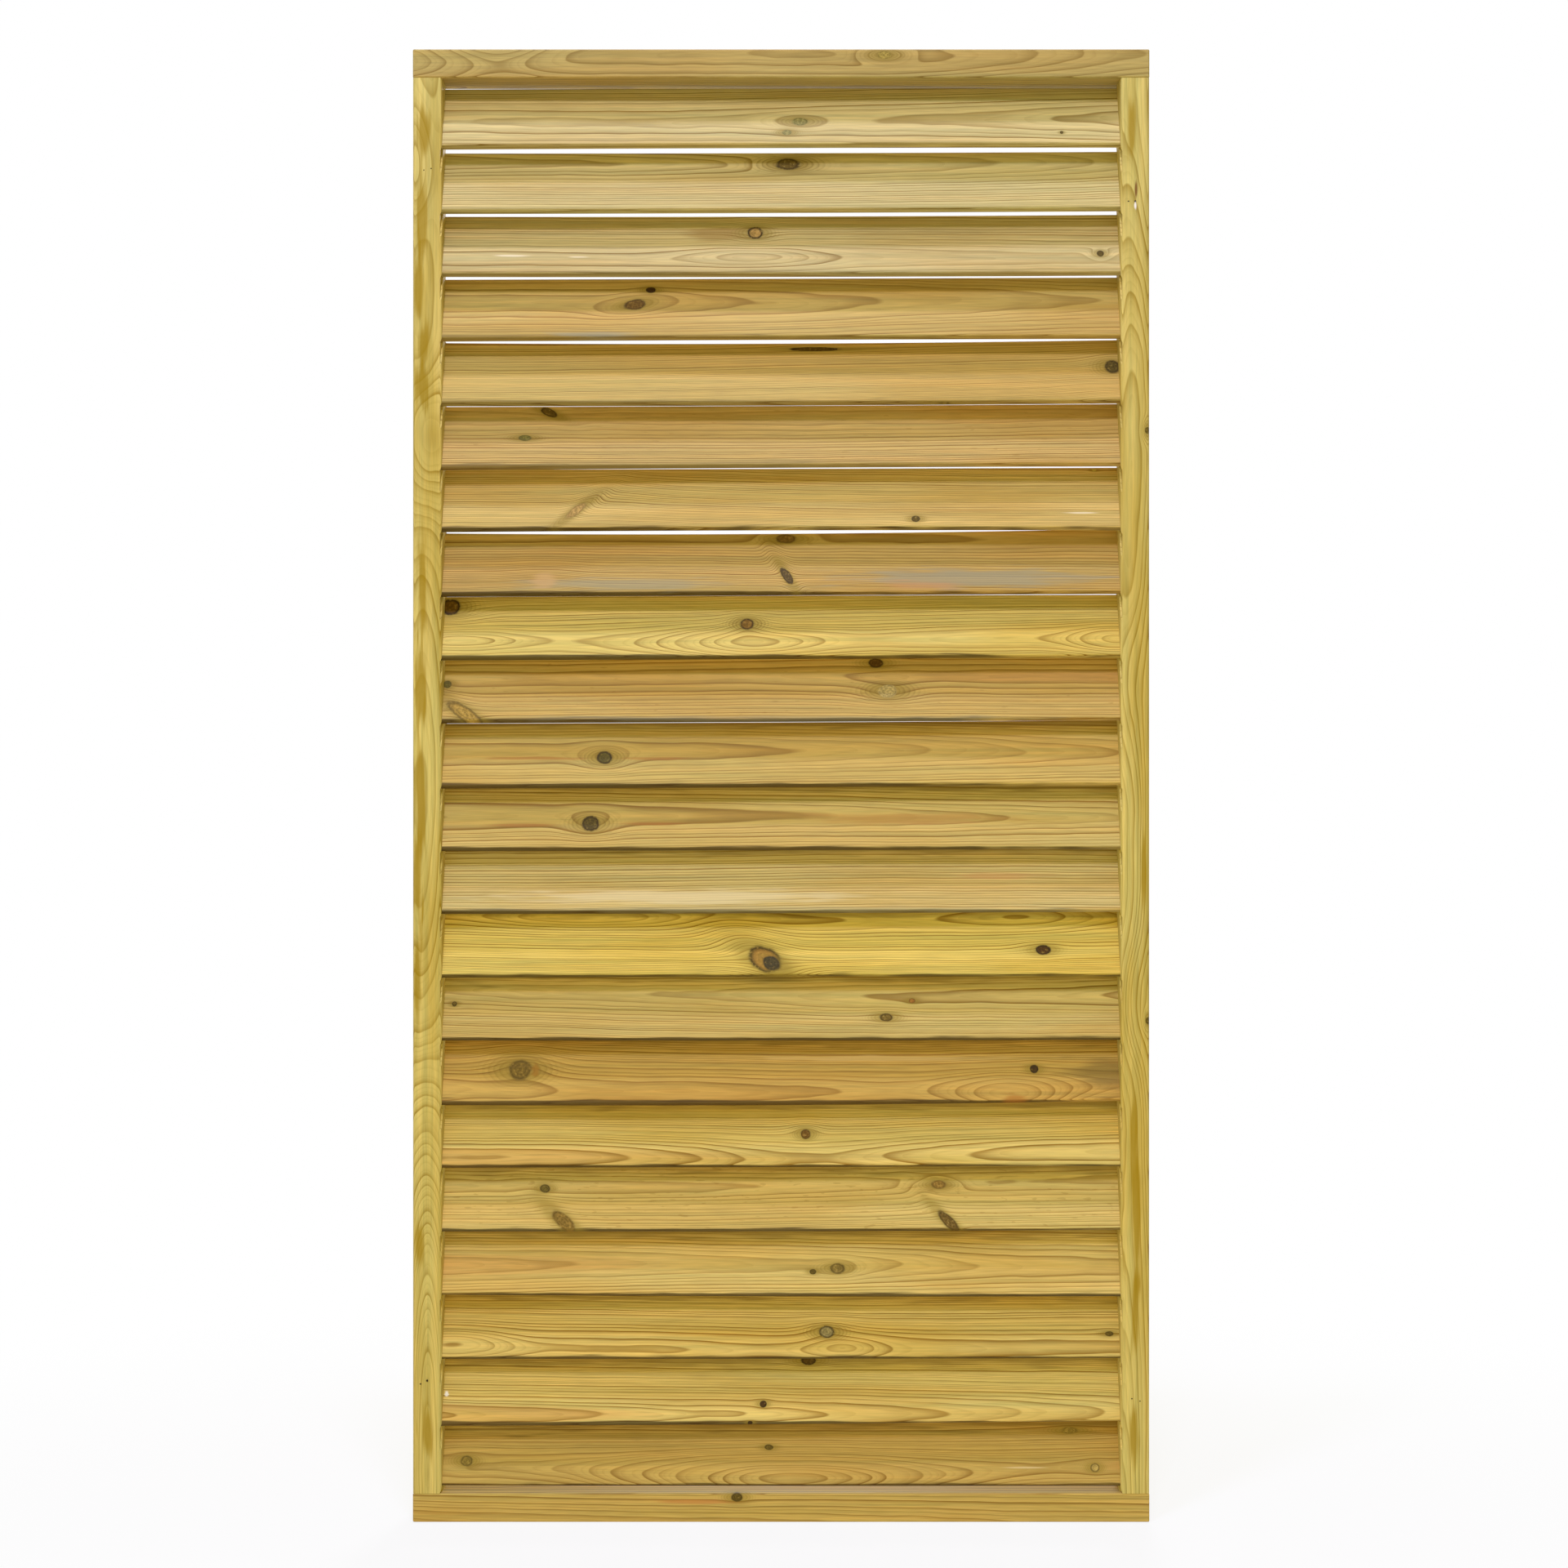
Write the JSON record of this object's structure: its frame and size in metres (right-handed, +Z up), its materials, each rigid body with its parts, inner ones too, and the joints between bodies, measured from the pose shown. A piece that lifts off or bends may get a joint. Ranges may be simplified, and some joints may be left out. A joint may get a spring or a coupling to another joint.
{
  "type": "louvred fence panel",
  "caption": "Upright fence panel of leaning wooden louvre slats housed in a plain rectangular timber frame, to screen and divide while letting air through.",
  "frame": {"origin": "middle of the underside of the bottom rail", "axes": "+Z up, +X along the panel, +Y from the front to the back"},
  "size_m": [0.9, 0.045, 1.8],
  "materials": {
    "frame_timber": "planed pressure-treated pine",
    "slat_timber": "planed pressure-treated pine",
    "zinc_plated_steel": "zinc plated"
  },
  "bodies": {
    "root": {"top_rail": "frame_timber", "bottom_rail": "frame_timber", "left_stile": "frame_timber", "right_stile": "frame_timber", "slat_01": "slat_timber", "slat_02": "slat_timber", "slat_03": "slat_timber", "slat_04": "slat_timber", "slat_05": "slat_timber", "slat_06": "slat_timber", "slat_07": "slat_timber", "slat_08": "slat_timber", "slat_09": "slat_timber", "slat_10": "slat_timber", "slat_11": "slat_timber", "slat_12": "slat_timber", "slat_13": "slat_timber", "slat_14": "slat_timber", "slat_15": "slat_timber", "slat_16": "slat_timber", "slat_17": "slat_timber", "slat_18": "slat_timber", "slat_19": "slat_timber", "slat_20": "slat_timber", "slat_21": "slat_timber", "slat_22": "slat_timber", "top_rail_staples": "zinc_plated_steel", "bottom_rail_staples": "zinc_plated_steel", "left_slat_brads": "zinc_plated_steel", "right_slat_brads": "zinc_plated_steel"}
  },
  "joints": []
}
